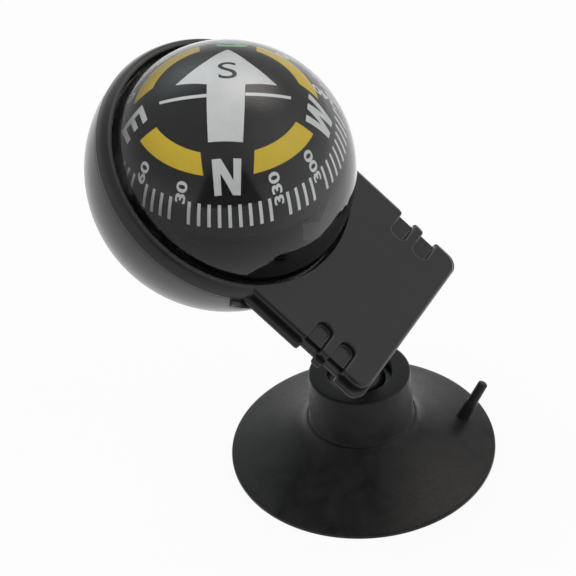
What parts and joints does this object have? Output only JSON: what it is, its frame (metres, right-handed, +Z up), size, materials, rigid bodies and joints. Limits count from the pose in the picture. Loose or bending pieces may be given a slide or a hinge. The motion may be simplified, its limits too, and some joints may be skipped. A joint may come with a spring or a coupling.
{
  "type": "car dashboard compass",
  "caption": "Liquid-filled ball compass in a round bezel with a fluted arm, held by a ball joint in the collar of a rubber suction cup.",
  "frame": {"origin": "under the middle of the whole compass, on the surface that the suction cup stands on", "axes": "+Z up along the suction cup's axis; -Y towards the reader of the dial; +X to the reader's right"},
  "size_m": [0.0678, 0.0552, 0.0797],
  "materials": {
    "cup_rubber": "matte moulded rubber with a soft mottled bloom",
    "seal_rubber": "smooth rubber",
    "black_plastic": "satin moulded plastic",
    "inner_plastic": "black moulded plastic",
    "card_plastic": "matt black card with a white and yellow print",
    "clear_plastic": "polished clear acrylic",
    "screw_steel": "bright zinc-plated steel",
    "pivot_brass": "turned brass",
    "magnet": "black-coated bar magnet"
  },
  "bodies": {
    "cup": {"suction_cup": "cup_rubber"},
    "socket": {"socket_insert": "black_plastic"},
    "stud": {"ball_stud": "black_plastic", "stud_screw": "screw_steel"},
    "head": {"front_frame": "black_plastic", "rear_shell": "black_plastic", "arm_screw_1": "screw_steel", "arm_screw_2": "screw_steel", "arm_screw_3": "screw_steel", "arm_screw_4": "screw_steel", "capsule_dome": "clear_plastic", "capsule_gasket": "seal_rubber", "capsule_base": "inner_plastic", "fill_plug": "inner_plastic", "expansion_diaphragm": "seal_rubber", "diaphragm_ring": "inner_plastic", "pivot_post": "pivot_brass", "pivot_pin": "screw_steel"},
    "jewel": {"jewel_cup": "pivot_brass"},
    "card": {"card_dome": "card_plastic", "card_float": "card_plastic", "card_magnet_left": "magnet", "card_magnet_right": "magnet"}
  },
  "joints": [
    {"name": "neck_swivel", "type": "hinge", "parent": "cup", "child": "socket", "pos_m": [0.01007, -0.00371, 0.01417], "axis": [0, 0, 1], "continuous": true},
    {"name": "neck_tilt", "type": "hinge", "parent": "socket", "child": "stud", "pos_m": [0.01007, -0.00371, 0.01417], "axis": [0.9185, 0.3955, 0], "range_deg": [-40, 20]},
    {"name": "neck_twist", "type": "hinge", "parent": "stud", "child": "head", "pos_m": [0.01007, -0.00371, 0.01417], "axis": [0.0795, -0.1845, 0.9796], "continuous": true},
    {"name": "card_tilt", "type": "hinge", "parent": "head", "child": "jewel", "pos_m": [-0.0099, 0.00353, 0.05823], "axis": [0.9185, 0.3955, 0], "range_deg": [-10, 10]},
    {"name": "card_spin", "type": "hinge", "parent": "jewel", "child": "card", "pos_m": [-0.0099, 0.00353, 0.05823], "axis": [0.0471, -0.0471, 0.9978], "continuous": true}
  ]
}
